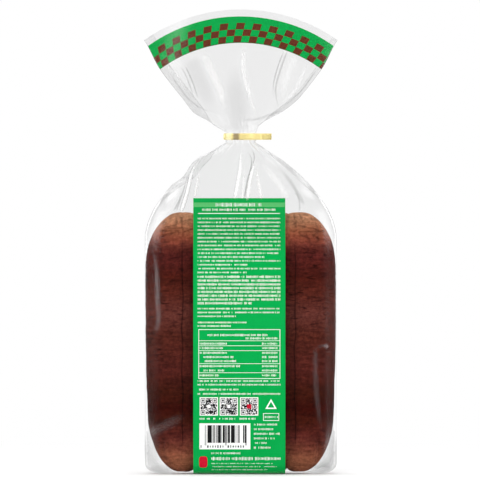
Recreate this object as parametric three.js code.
// A pack of bar buns: a clear film bag with side gussets, filled out by a block of four long buns,
// gathered at the neck by a gold twist tie and fanned out above it. Millimetres, +Z up. The pack
// stands on its base, with the origin at the middle of the base and the printed back panel towards -Y.
import * as THREE from "three";

// The filled body of the bag
const BODY_WIDTH = 146.5;
const BODY_DEPTH = 55;
const BODY_SQUARENESS = 6; // exponent of the superellipse that the body's section follows
const BASE_ROUND = 6; // radius round the bottom edge, at the front and back
const BASE_ROUND_SIDE = 11; // the same at the sides, where the film's folded corners are softer
const BUN_COUNT = 4;
const LOAF_WIDTH = 145.6;
const FLUTE_DEPTH = 1.6; // how far the film dips between the buns' domes, on the +Y side
const SHOULDER_Z = 178; // where the sides begin to lean in
const DEPTH_SHOULDER_Z = 184; // where the front and back begin to lean in

// The gathered neck and the twist tie round it
const TIE_Z = 257;
const TIE_WIDTH = 4.8;
const TIE_THICKNESS = 0.9;
const TIE_GAP = 0.4; // between the tie and the gathered film
const TIE_TAIL_END_X = 23.7;
const TIE_PINCH_X = 17; // where the strip's two ends come together
const TIE_LOOP_START = THREE.MathUtils.degToRad(40); // where they leave the loop round the neck
const TIE_EASE = 2.5; // how gently they do so
const TIE_STEPS = 70;
const TIE_TAIL_GAP = 0.3; // between the two ends of the strip, which lie side by side
const NECK_HALF_WIDTH = 11.6;
const NECK_HALF_DEPTH = 6.6;
const NECK_PLEAT = 0.5;
const NECK_BOTTOM_Z = TIE_Z - 5;

// The fan of film above the tie, in polar terms about a point below the tie
const FAN_APEX_Z = TIE_Z - 31.5;
const FAN_START_RADIUS = 36;
const MOUTH_RADIUS = 128.5;
const FAN_NECK_ANGLE = THREE.MathUtils.degToRad(18.5);
const FAN_MOUTH_ANGLE = THREE.MathUtils.degToRad(36.8);
const FAN_CORNER_TAPER = THREE.MathUtils.degToRad(1.7); // how far its sides turn back in at the mouth
const FAN_OPENING_LENGTH = 15; // how quickly the fan reaches its full angle
const FAN_HALF_GAP = 7.5; // from the middle of the fan to either panel, at its centre
const FAN_EDGE_GAP = 2.6; // the same at the panels' side edges
const FAN_RUFFLE = 2.2; // how far the mouth waves to the front and back
const FAN_RUFFLE_LENGTH = 78;
const FAN_LEAN = 3.4; // how far the film lies towards -X just above the tie
const FAN_WALL = 1.4;
const FAN_HOLLOW_RADIUS = 52; // the open mouth reaches down to here

// The side gussets, as shares of the film's girth
const GUSSET_EDGE = 0.205; // from the middle of a panel to its side edge
const SHOULDER_TUCK = 14; // how far a gusset folds in
const MOUTH_TUCK = 8;
const TUCK_MARGIN = 3; // film between a gusset's inner fold and the open mouth

// Gathers: waves round the girth, each a whole number of times
const GATHERS = [
  { count: 9, share: 0.5, shift: 0.13 },
  { count: 14, share: 0.3, shift: 0.41 },
  { count: 22, share: 0.2, shift: 0.77 },
];
const SHOULDER_GATHER = 2.2;
const FAN_GATHER = 1.1;

// How finely the surface is divided
const COLUMNS = 88; // round the girth, a multiple of 4
const OUTLINE_STEPS = 480;
const BASE_ROWS = 4;
const BODY_ROWS = 8;
const SHOULDER_ROWS = 15;
const FAN_ROWS = 16;
const HOLLOW_ROWS = 8;

const smooth = (low, high, value) => THREE.MathUtils.smoothstep(value, low, high);
const { lerp } = THREE.MathUtils;

// A share of 1 at the foot of the shoulder and 0 at the neck, as the bag narrows.
function narrowing(z, from, power, ease) {
  const t = THREE.MathUtils.clamp((z - from) / (NECK_BOTTOM_Z - from), 0, 1);
  return Math.pow(1 - Math.pow(t, power), ease);
}

// The size and folds of the bag's section at height z, from the base to the neck.
function sectionAtHeight(z, rounding = 0) {
  const wide = narrowing(z, SHOULDER_Z, 1.85, 0.9);
  const deep = narrowing(z, DEPTH_SHOULDER_Z, 1.4, 0.95);
  const gathered = smooth(SHOULDER_Z + 10, NECK_BOTTOM_Z - 8, z);
  const neck = smooth(NECK_BOTTOM_Z - 14, NECK_BOTTOM_Z, z);
  return {
    z,
    halfWidth: lerp(NECK_HALF_WIDTH, BODY_WIDTH / 2, wide) - rounding * BASE_ROUND_SIDE,
    halfDepth: lerp(NECK_HALF_DEPTH, BODY_DEPTH / 2, deep) - rounding * BASE_ROUND,
    squareness: lerp(2, BODY_SQUARENESS, smooth(0.2, 1, wide)),
    tuck: SHOULDER_TUCK,
    folded: 0.75 * smooth(200, 226, z) * (1 - neck),
    gather: lerp(SHOULDER_GATHER * gathered, NECK_PLEAT, neck),
    flute: FLUTE_DEPTH * smooth(4, 40, z) * (1 - smooth(150, 192, z)),
  };
}

// The size and folds of the fan's section at this distance from its apex.
function sectionOfFan(radius) {
  const beyond = (radius - FAN_START_RADIUS) / FAN_OPENING_LENGTH;
  const along = (radius - FAN_START_RADIUS) / (MOUTH_RADIUS - FAN_START_RADIUS);
  const widest = FAN_MOUTH_ANGLE - FAN_CORNER_TAPER * smooth(0.7, 1, along);
  const angle = lerp(FAN_NECK_ANGLE, widest, 1 - Math.exp(-Math.pow(beyond, 1.3)));
  const opened = smooth(FAN_START_RADIUS, FAN_START_RADIUS + 26, radius);
  return {
    radius,
    halfWidth: radius * angle,
    halfDepth: lerp(NECK_HALF_DEPTH, FAN_HALF_GAP, opened),
    squareness: 2,
    tuck: Math.min(MOUTH_TUCK, radius * angle * 0.5),
    folded: opened,
    gather: lerp(NECK_PLEAT, FAN_GATHER * (1 - 0.7 * along), smooth(0, 0.12, along)),
    flute: 0,
    ruffle: FAN_RUFFLE * Math.pow(along, 1.2),
  };
}

// Points at equal steps round a superellipse, from the middle of its -Y side towards +X.
function rounded(halfWidth, halfDepth, squareness) {
  const outline = [];
  for (let i = 0; i < OUTLINE_STEPS; i++) {
    const turn = (i / OUTLINE_STEPS) * 2 * Math.PI - Math.PI / 2;
    const c = Math.cos(turn);
    const s = Math.sin(turn);
    const power = 2 / squareness;
    outline.push(
      new THREE.Vector3(
        halfWidth * Math.sign(c) * Math.pow(Math.abs(c), power),
        halfDepth * Math.sign(s) * Math.pow(Math.abs(s), power),
        0,
      ),
    );
  }
  const path = new THREE.CurvePath();
  outline.forEach((p, i) => path.add(new THREE.LineCurve3(p, outline[(i + 1) % OUTLINE_STEPS])));
  return Array.from({ length: COLUMNS }, (_, k) => path.getPointAt(k / COLUMNS));
}

// Half the gap between the panels, by the place across a panel from -1 to 1.
function halfGap(section, across) {
  const edge = (section.halfDepth * FAN_EDGE_GAP) / FAN_HALF_GAP;
  return lerp(edge, section.halfDepth, 1 - across * across);
}

// The point of a flat gusseted section at this share of the girth: a panel runs straight across, and a
// gusset folds in between the panels' side edges.
function gusseted(section, share) {
  const side = share > 0.5 ? -1 : 1;
  const quarter = side > 0 ? share : 1 - share;
  const back = quarter > 0.25 ? 1 : -1;
  const fromMiddle = Math.min(quarter, 0.5 - quarter);
  if (fromMiddle <= GUSSET_EDGE) {
    const across = fromMiddle / GUSSET_EDGE;
    return [side * across * section.halfWidth, back * halfGap(section, across)];
  }
  const fold = (fromMiddle - GUSSET_EDGE) / (0.25 - GUSSET_EDGE);
  return [side * (section.halfWidth - fold * section.tuck), back * halfGap(section, 1) * (1 - fold)];
}

function gatherWave(share) {
  return GATHERS.reduce((sum, g) => sum + g.share * Math.cos(2 * Math.PI * (g.count * share + g.shift)), 0);
}

// How far the fan's middle lies from the plane of the bag, across its width.
function ruffleAt(section, x) {
  return (section.ruffle ?? 0) * Math.sin((2 * Math.PI * x) / FAN_RUFFLE_LENGTH + 0.6);
}

// Sets a section's flat point in space: at its height, or on its arc of the fan.
function placed(section, x, y) {
  if (section.radius === undefined) return new THREE.Vector3(x, y, section.z);
  const angle = x / section.radius;
  const above = section.radius - FAN_START_RADIUS;
  const lean = -FAN_LEAN * smooth(0, 8, above) * (1 - smooth(16, 42, above));
  return new THREE.Vector3(
    section.radius * Math.sin(angle) + lean,
    y,
    FAN_APEX_Z + section.radius * Math.cos(angle),
  );
}

// One ring of the film's outer face.
function outerRing(section) {
  const soft = rounded(section.halfWidth, section.halfDepth, section.squareness);
  const flat = soft.map((p, k) => {
    const [x, y] = gusseted(section, k / COLUMNS);
    const point = new THREE.Vector2(lerp(p.x, x, section.folded), lerp(p.y, y, section.folded));
    const bun = Math.cos((2 * Math.PI * BUN_COUNT * (point.x + LOAF_WIDTH / 2)) / LOAF_WIDTH);
    if (point.y > 0) point.y -= (section.flute * (1 + bun) * point.y) / BODY_DEPTH;
    return point;
  });
  return flat.map((p, k) => {
    const before = flat[(k + COLUMNS - 1) % COLUMNS];
    const after = flat[(k + 1) % COLUMNS];
    const outward = new THREE.Vector2(after.y - before.y, before.x - after.x).normalize();
    const moved = p.clone().addScaledVector(outward, section.gather * gatherWave(k / COLUMNS));
    return placed(section, moved.x, moved.y + ruffleAt(section, p.x));
  });
}

// One ring of the open mouth's inner face, which closes towards its foot.
function innerRing(radius) {
  const section = sectionOfFan(radius);
  const open = smooth(FAN_HOLLOW_RADIUS - 6, FAN_HOLLOW_RADIUS + 26, radius);
  const reach = section.halfWidth - section.tuck - TUCK_MARGIN;
  const gapAt = (x) => (halfGap(section, x / section.halfWidth) - FAN_WALL) * open;
  return Array.from({ length: COLUMNS }, (_, k) => {
    const share = k / COLUMNS;
    const side = share > 0.5 ? -1 : 1;
    const quarter = side > 0 ? share : 1 - share;
    const back = quarter > 0.25 ? 1 : -1;
    const fromMiddle = Math.min(quarter, 0.5 - quarter);
    const panel = Math.min(fromMiddle / GUSSET_EDGE, 1);
    const fold = Math.max(0, (fromMiddle - GUSSET_EDGE) / (0.25 - GUSSET_EDGE));
    const x = side * (panel * reach + fold);
    const y = back * gapAt(panel * reach) * (1 - fold);
    return placed(section, x, y + ruffleAt(section, x));
  });
}

// A closed body from rings of equal count: the first and last are closed straight across.
function bodyFromRings(rings) {
  const count = rings[0].length;
  const index = [];
  const quad = (a, b, c, d) => index.push(a, b, c, a, c, d);
  for (let r = 0; r + 1 < rings.length; r++) {
    for (let k = 0; k < count; k++) {
      const next = (k + 1) % count;
      quad(r * count + k, r * count + next, (r + 1) * count + next, (r + 1) * count + k);
    }
  }
  // A ring's -Y half is joined to its +Y half, column by column, from one side to the other.
  const closeAcross = (start, facing) => {
    const front = (i) => start + ((i + count) % count);
    const rear = (i) => start + ((count / 2 - i + count) % count);
    for (let i = -count / 4; i < count / 4; i++) {
      const corners = [front(i), rear(i), rear(i + 1), front(i + 1)];
      if (facing < 0) corners.reverse();
      const distinct = corners.filter((v, j) => v !== corners[(j + 1) % 4]);
      if (distinct.length === 4) quad(...distinct);
      else if (distinct.length === 3) index.push(...distinct);
    }
  };
  closeAcross(0, 1);
  closeAcross((rings.length - 1) * count, -1);
  const geometry = new THREE.BufferGeometry();
  const flat = rings.flat().flatMap((p) => [p.x, p.y, p.z]);
  geometry.setAttribute("position", new THREE.Float32BufferAttribute(flat, 3));
  geometry.setIndex(index);
  geometry.computeVertexNormals();
  return geometry;
}

function bagGeometry() {
  const rings = [];
  for (let i = 0; i < BASE_ROWS; i++) {
    const turn = (i / BASE_ROWS) * (Math.PI / 2);
    rings.push(outerRing(sectionAtHeight(BASE_ROUND * (1 - Math.cos(turn)), 1 - Math.sin(turn))));
  }
  for (let i = 0; i < BODY_ROWS; i++) {
    rings.push(outerRing(sectionAtHeight(lerp(BASE_ROUND, SHOULDER_Z, i / BODY_ROWS))));
  }
  for (let i = 0; i <= SHOULDER_ROWS; i++) {
    rings.push(outerRing(sectionAtHeight(lerp(SHOULDER_Z, NECK_BOTTOM_Z, i / SHOULDER_ROWS))));
  }
  rings.push(outerRing(sectionAtHeight(TIE_Z)));
  for (let i = 0; i <= FAN_ROWS; i++) {
    const along = Math.pow(i / FAN_ROWS, 1.3);
    rings.push(outerRing(sectionOfFan(lerp(FAN_START_RADIUS, MOUTH_RADIUS, along))));
  }
  for (let i = 0; i <= HOLLOW_ROWS; i++) {
    rings.push(innerRing(lerp(MOUTH_RADIUS, FAN_HOLLOW_RADIUS, i / HOLLOW_ROWS)));
  }
  return bodyFromRings(rings);
}

// The tie is one flat strip: it passes round the neck, and its two ends lie together as a tail.
function tieGeometry() {
  const across = NECK_HALF_WIDTH + NECK_PLEAT + TIE_GAP + TIE_THICKNESS / 2;
  const deep = NECK_HALF_DEPTH + NECK_PLEAT + TIE_GAP + TIE_THICKNESS / 2;
  const tailY = (TIE_THICKNESS + TIE_TAIL_GAP) / 2;
  const startX = across * Math.cos(TIE_LOOP_START);
  const startY = deep * Math.sin(TIE_LOOP_START);
  const heading = new THREE.Vector2(-across * Math.sin(TIE_LOOP_START), deep * Math.cos(TIE_LOOP_START));
  heading.setLength(TIE_EASE);
  const easedX = startX - heading.x;
  const easedY = startY - heading.y;
  const middle = new THREE.Path();
  middle.moveTo(TIE_TAIL_END_X, tailY);
  middle.lineTo(TIE_PINCH_X, tailY);
  middle.bezierCurveTo(TIE_PINCH_X - TIE_EASE, tailY, easedX, easedY, startX, startY);
  middle.absellipse(0, 0, across, deep, TIE_LOOP_START, 2 * Math.PI - TIE_LOOP_START, false);
  middle.bezierCurveTo(easedX, -easedY, TIE_PINCH_X - TIE_EASE, -tailY, TIE_PINCH_X, -tailY);
  middle.lineTo(TIE_TAIL_END_X, -tailY);
  const line = middle.getSpacedPoints(TIE_STEPS);
  const edge = (side) =>
    line.map((p, i) => {
      const along = line[Math.min(i + 1, TIE_STEPS)].clone().sub(line[Math.max(i - 1, 0)]);
      const outward = new THREE.Vector2(-along.y, along.x).setLength(TIE_THICKNESS / 2);
      return p.clone().addScaledVector(outward, side);
    });
  const outline = new THREE.Shape([...edge(-1), ...edge(1).reverse()]);
  return new THREE.ExtrudeGeometry(outline, { depth: TIE_WIDTH, bevelEnabled: false });
}

const film = new THREE.MeshStandardMaterial({ color: 0xe9e9e9, roughness: 0.15, metalness: 0 });
const goldFoil = new THREE.MeshStandardMaterial({ color: 0xe8cf78, roughness: 0.3, metalness: 0.8 });

const bag = new THREE.Mesh(bagGeometry(), film);
bag.name = "bag";

const tie = new THREE.Mesh(tieGeometry(), goldFoil);
tie.name = "twist_tie";
tie.position.z = TIE_Z - TIE_WIDTH / 2;

const pack = new THREE.Group();
pack.add(bag, tie);

export default pack;
